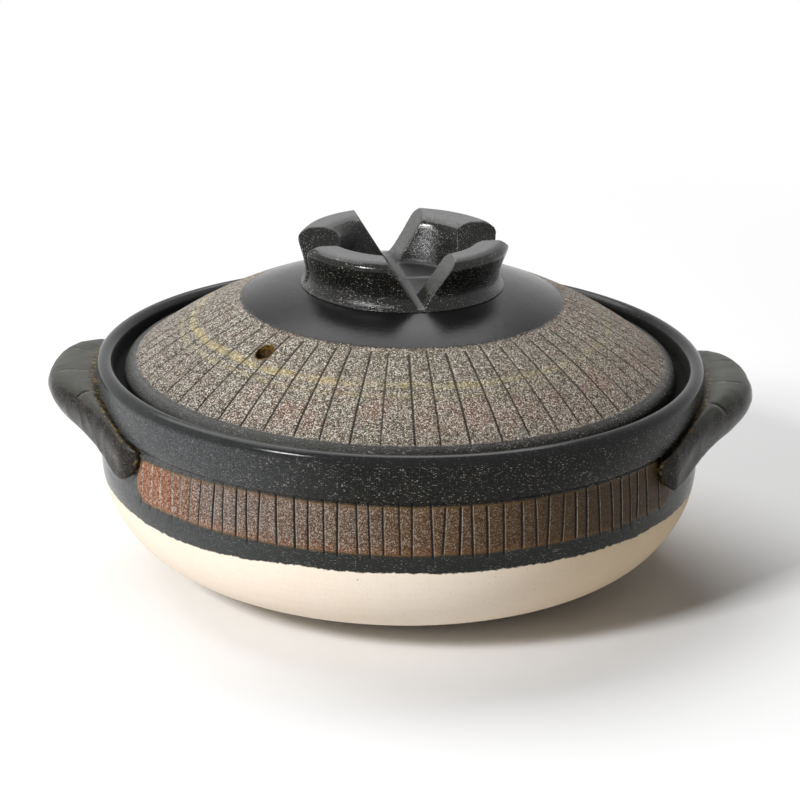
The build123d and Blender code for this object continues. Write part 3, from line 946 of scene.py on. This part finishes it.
def bowl_material():
    g = Graph(bpy.data.materials.new("bowl_glaze"))
    glaze, glaze_rough, glaze_height = black_glaze(g, 0, RIM_RADIUS)
    sand, sand_height = panel_glaze(g)
    ragged = g.sway(3.4, 21, 3.0, 4.0, 0.7) + g.sway(2.4, 22, 14, 2.0)
    skin, scored, burr = g.attribute("outside"), g.attribute("score"), g.attribute("burr")
    depth = panel_depth(g, ragged)
    in_panel = depth.step(0.7, -0.7) * skin
    rim_line = depth.step(1.2, 0.2) * depth.step(-1.6, -0.6) * skin
    # Painted sheen greys the glaze on the lit left side
    glaze = g.mix(left_sheen_share(g, 23, -10, -110, 0.25, 0.6), glaze, LEFT_SHEEN_GREY)
    glaze = g.mix(g.z.step(PANEL_LOW + 2, PANEL_LOW - 1) * 0.4, glaze, LOW_GREY)
    # The glaze runs thin and smooth over the lip
    lip = g.z.step(RIM_HEIGHT - 6, RIM_HEIGHT - 3) * g.radius.step(LIP_INNER - 1, LIP_INNER)
    glaze, glaze_height = g.mix(lip * 0.75, glaze, LIP_GREY), glaze_height * (lip * -0.85 + 1.0)
    colour = g.mix(rim_line * 0.35, g.mix(in_panel, glaze, sand), PANEL_RIM)
    # Black lines, pale and broken at the far left, with a painted highlight on the burr right of each
    pale = g.x.step(-92, -116) * in_panel * g.noise(19, 1.0, 3.0, 0.8).step(0.42, 0.56)
    shown = in_panel.most(g.x.step(-105, -60)) * 0.95
    colour = g.mix(scored.step(0.25, 0.7) * shown, colour, g.mix(pale, LINE_BLACK, PALE_LINE))
    burr_highlight = burr.step(0.35, 0.9) * g.noise(20, 1.1, 3.0, 0.7).step(0.34, 0.54)
    colour = g.mix(burr_highlight * (in_panel * 0.75 + 0.25) * 0.6, colour, PANEL_BURR_HIGHLIGHT)
    # Bare clay below a ragged glaze edge, with a few drops of glaze on it
    drops, which = g.specks(31, 2.6)
    spots = drops.step(0.3, 0.14) * which.step(0.8, 0.84) * g.z.step(GLAZE_LINE - 7, GLAZE_LINE - 1)
    line_at = g.z + ragged + g.x.step(-45, -100) * g.x.step(-150, -112) * GLAZE_SAG
    bare = line_at.step(GLAZE_LINE + 0.4, GLAZE_LINE - 0.4) * (1.0 - spots) * skin
    clay, clay_height = bare_clay(g)
    # Painted shade: the gutter inside the lip goes near-black, and its glaze is dull
    shaded_gutter = g.radius.step(LIP_INNER + 0.4, LIP_INNER - 0.4) * g.z.step(SEAT_HEIGHT - 8, SEAT_HEIGHT - 2)
    colour = g.mix(shaded_gutter * 0.9, g.mix(bare, colour, clay), INK)
    roughness = g.blend(bare, g.blend(in_panel, g.blend(shaded_gutter, glaze_rough, 0.95), 0.4), 0.85)
    height = g.blend(bare, g.blend(in_panel, glaze_height * 0.22, sand_height * 0.4), clay_height)
    return g.finish(g.surface(colour, roughness, height, 0.5, GLAZE_LEVEL))


def brushed_rings(g):
    """A ring of ochre brushed round the lid's band, with a second broken one just outside it."""
    ring = 0.0
    for middle, width, strength, seed in OCHRE_RINGS:
        off = abs(g.radius + g.sway(7.0, seed, 30, 2.0) - middle)
        broken = g.noise(seed + 4, 9, 2.0).step(0.36, 0.56) * 0.75 + 0.25
        ring = (off.step(width, width * 0.4) * broken * strength).most(ring)
    return ring * (g.x.step(60, -30) * 0.55 + 0.45)


def lid_material():
    g = Graph(bpy.data.materials.new("lid_glaze"))
    glaze, glaze_rough, glaze_height = black_glaze(g, 60, LID_RADIUS)
    skin, scored, burr = g.attribute("outside"), g.attribute("score"), g.attribute("burr")
    ragged, ring = g.sway(2.2, 81, 3.0, 4.0, 0.7), brushed_rings(g)
    low_band = (g.radius + ragged * 2.0).step(108.0, 118.0) * g.radius.step(134, 126)
    rust, grey = low_band * g.noise(88, 12).step(0.42, 0.58), g.x.step(-30, -120) * 0.6
    tints = ((rust * 0.35, RUST), (grey, LID_GREY), (ring * 0.85, OCHRE))
    colour, sand_height = sandy_glaze(g, 70, 0.85, tints)
    colour = g.mix(ring * 0.25, colour, SOFT_OCHRE)
    # The edge is near-black with painted sheen on the left, and dull and painted with shade where it faces the
    # gutter
    glaze = g.mix(left_sheen_share(g, 90, 20, -110, 0.2, 0.55), glaze, LID_LEFT_SHEEN)
    border = (g.radius + ragged).step(BAND_OUTER - 0.8, BAND_OUTER + 0.8)
    below = g.z.step(SEAT_HEIGHT + 5, SEAT_HEIGHT + 3)
    colour = g.mix(border * 0.97, colour, g.mix(below, glaze, GUTTER_SHADE))
    # The cap is glossy, with a grainy edge
    cap = (g.radius + g.sway(9.0, 85, 0.9, 4.0, 0.85)).step(CAP_RADIUS + 0.9, CAP_RADIUS - 0.9)
    colour = g.mix(cap, colour, g.mix(g.noise(84, 12), CAP_LIGHT, CAP_DARK))
    line_colour = g.mix(g.radius.step(108, 132), INNER_LINE, OUTER_LINE)
    colour = g.mix(scored.step(0.25, 0.7) * 0.9, colour, line_colour)
    # Painted highlight on the burr beside each line
    colour = g.mix(burr.step(0.3, 0.9) * ((1.0 - cap) * (1.0 - border)) * 0.3, colour, LID_BURR_HIGHLIGHT)
    fleck = g.noise(89, 1.2, 3.0, 0.7).step(0.44, 0.56) * 0.6 + 0.15
    colour = g.mix(g.attribute("hole"), colour, g.mix(fleck, HOLE_DARK, HOLE_OCHRE))
    roughness = g.blend(cap, g.blend(border, 0.55, g.blend(below, glaze_rough, 0.95)), 0.12)
    height = g.blend(border * 0.8, g.blend(cap, sand_height, glaze_height * 0.16), glaze_height * 0.6)
    return g.finish(g.surface(g.mix(skin, glaze, colour), roughness, height, 0.45, LID_LEVEL))


def knob_material():
    g = Graph(bpy.data.materials.new("knob_glaze"))
    glaze, glaze_rough, glaze_height = black_glaze(g, 90, KNOB_RADIUS)
    wear_and_sheen_mask, floor = g.attribute("wear_and_sheen_mask"), g.attribute("floor")
    # Grey-olive on the top faces is partly wear and partly painted sheen; on the faces of one cut it is wear
    wear_and_sheen = (wear_and_sheen_mask + g.sway(0.6, 96, 2.0)).step(0.4, 0.7)
    olive = g.mix(g.noise(95, 0.8, 3.0, 0.7), PALE_WEAR_SHEEN, DARK_WEAR_SHEEN)
    olive = g.mix(wear_and_sheen_mask.step(0.6, 0.95), g.mix(0.6, olive, CUT_OLIVE), olive)
    colour = g.mix(floor * 0.95, g.mix(wear_and_sheen * 0.85, glaze, olive), RING_FLOOR)
    roughness = g.blend(floor, g.blend(wear_and_sheen, glaze_rough * 0.8, 0.4), 0.3)
    # The brow is smooth and catches the light
    brow = g.z.step(knob_top - 7, knob_top - 5) * g.z.step(knob_top, knob_top - 2)
    return g.finish(g.surface(colour, roughness, glaze_height * (brow * -0.7 + 1.0), 0.12, KNOB_LEVEL))


def handle_material():
    g = Graph(bpy.data.materials.new("handle_glaze"))
    glaze, glaze_rough, glaze_height = black_glaze(g, 120, RIM_RADIUS)
    seam, cloud = g.attribute("seam"), g.noise(125, 5.0, 3.0, 0.6)
    # Grey-olive on the upward faces is partly wear and partly painted sheen
    wear_and_sheen = (g.attribute("crest") + (cloud - 0.5) * 0.8).step(0.3, 0.9)
    olive = g.mix(g.noise(126, 0.9, 3.0, 0.7), OLIVE, DARK_OLIVE)
    colour = g.mix(wear_and_sheen * 0.75, g.mix(0.35, glaze, HANDLE_BLACK), olive)
    # Painted shade in the creases, and a painted highlight on the burr beside each
    colour = g.mix(g.attribute("crease").step(0.25, 0.55) * 0.9, colour, CREASE_SHADE)
    colour = g.mix(g.attribute("burr") * (cloud.step(0.4, 0.6) * 0.45), colour, CREASE_HIGHLIGHT)
    colour = g.mix((1.0 - wear_and_sheen) * (cloud.step(0.35, 0.6) * 0.25), colour, HANDLE_BROWN)
    # Painted shade along the seam where the handle meets the bowl
    colour = g.mix(seam.step(0.2, 0.6) * 0.85, colour, SEAM_SHADE)
    ochre = seam.step(0.2, 0.5) * g.noise(127, 1.8, 3.0, 0.7).step(0.5, 0.62)
    colour = g.mix(ochre * 0.75, colour, SEAM_OCHRE)
    return g.finish(g.surface(colour, g.blend(wear_and_sheen, glaze_rough, 0.42), glaze_height, 0.1, GLAZE_LEVEL))


# Which side of its wall each vertex is on, 1 outside and 0 inside
at, radii, _ = positions(bowl)
inner_turn = (BELLY_RADIUS - BELLY_TURN, BELLY_HEIGHT)
from_turn = np.hypot(radii - inner_turn[0], at[:, 2] - inner_turn[1])
inside_low = (at[:, 2] < BELLY_HEIGHT) & (radii > inner_turn[0]) & (from_turn < BELLY_TURN - WALL / 2)
inside_floor = (radii <= inner_turn[0]) & (at[:, 2] > FOOT_HEIGHT + FLOOR / 2)
inside_high = (at[:, 2] >= BELLY_HEIGHT) & (radii < BELLY_RADIUS - WALL / 2)
spread(1.0 - (inside_low | inside_floor | inside_high), "outside", bowl)
at, _, _, sphere = lid_positions()
lid_skin = (sphere > DOME_RADIUS - LID_WALL / 2) & (at[:, 2] > SEAT_HEIGHT + 0.5)
lid_skin |= at[:, 2] > SEAT_HEIGHT + LID_TOP - LID_WALL / 2
spread(lid_skin.astype(float), "outside", lid)

at, radii, _ = positions(knob)
normals = read_vertices(knob, "normal")
high = smooth_step(at[:, 2], knob_base + 3, knob_base + 8)
top_face = smooth_step(at[:, 2], knob_top - 2.5, knob_top - 0.8) * smooth_step(normals[:, 2], 0.3, 0.8)
wedge_face = np.zeros(len(at))
for bearing, share in zip(cut_bearings, (0.15, 1.0)):
    across = -sin(bearing) * at[:, 0] + cos(bearing) * at[:, 1]
    gap = np.abs(np.abs(across) - foot_half - (at[:, 2] - wedge_foot) * wedge_slope)
    wedge_face = np.maximum(wedge_face, share * (1 - smooth_step(gap, 0.5, 1.4)))
# Top faces, from wear and painted sheen, and the faces of one cut, from wear
spread(np.maximum(top_face, 0.6 * wedge_face * high), "wear_and_sheen_mask", knob)
spread((1 - smooth_step(at[:, 2], knob_floor + 1.0, knob_floor + 5.0)) * (radii < 42), "floor", knob)

for piece, material, body, node, slot in (
    (bowl, bowl_material(), "pot", "pot_bowl", "bowl_glaze"),
    (ears[0], handle_material(), "pot", "left_handle", "handle_glaze"),
    (ears[1], handle_material(), "pot", "right_handle", "handle_glaze"),
    (lid, lid_material(), "lid", "lid_shell", "lid_glaze"),
    (knob, knob_material(), "lid", "lid_knob", "knob_glaze"),
):
    piece.data.materials.clear()
    piece.data.materials.append(material)
    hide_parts(node)
    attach(piece, body)


# ---------------------------- stage
def seen_directly(g):
    """1 where the camera, or a mirror or glass, looks straight at a surface, 0 where light bounces."""
    seen = g.made("LightPath", "Is Camera Ray", {})
    for kind in ("Is Glossy Ray", "Is Transmission Ray"):
        seen = seen.most(g.made("LightPath", kind, {}))
    return seen


def floor_material():
    """White paper that keeps the shadow near the pot and fades to the backdrop's white further off."""
    g = Graph(bpy.data.materials.new("floor_paper"))
    paper = g.surface(FLOOR_WHITE, 0.9, g.noise(0, 6.0, 2.0), 0.01, 0.2)
    far = g.radius.step(FADE_START, FADE_END) * seen_directly(g)
    return g.finish(g.made("MixShader", 0, {0: far, 1: paper, 2: g.made("Emission", 0, {})}))


floor_corners = [(-6000, -6000, 0), (6000, -6000, 0), (6000, 9000, 0), (-6000, 9000, 0)]
floor = new_object("floor", floor_corners, [(0, 1, 2, 3)])
floor.data.materials.append(floor_material())

world = bpy.data.worlds.new("studio")
bpy.context.scene.world = world
g = Graph(world)
light, backdrop = (g.made("Background", 0, {"Color": WHITE, "Strength": power}) for power in (WORLD_LIGHT, 1.0))
g.finish(g.made("MixShader", 0, {0: seen_directly(g), 1: light, 2: backdrop}), "World")

for name, place, aim, (width, height), power in LAMPS:
    data = bpy.data.lights.new(name, "AREA")
    data.shape, data.size, data.size_y, data.energy = "RECTANGLE", width, height, power
    lamp = add_object(name, data)
    lamp.location = place
    lamp.rotation_euler = (Vector(aim) - Vector(place)).to_track_quat("-Z", "Y").to_euler()

camera_data = bpy.data.cameras.new("camera")
camera_data.sensor_width, camera_data.lens = SENSOR_WIDTH, CAMERA_LENS
camera = add_object("camera", camera_data)
aim = Matrix.Rotation(radians(90 - CAMERA_PITCH), 4, "X") @ Matrix.Rotation(radians(CAMERA_ROLL), 4, "Z")
camera.matrix_world = Matrix.Translation(CAMERA_PLACE) @ aim
bpy.context.scene.camera = camera
bpy.context.scene.view_settings.view_transform = "Standard"
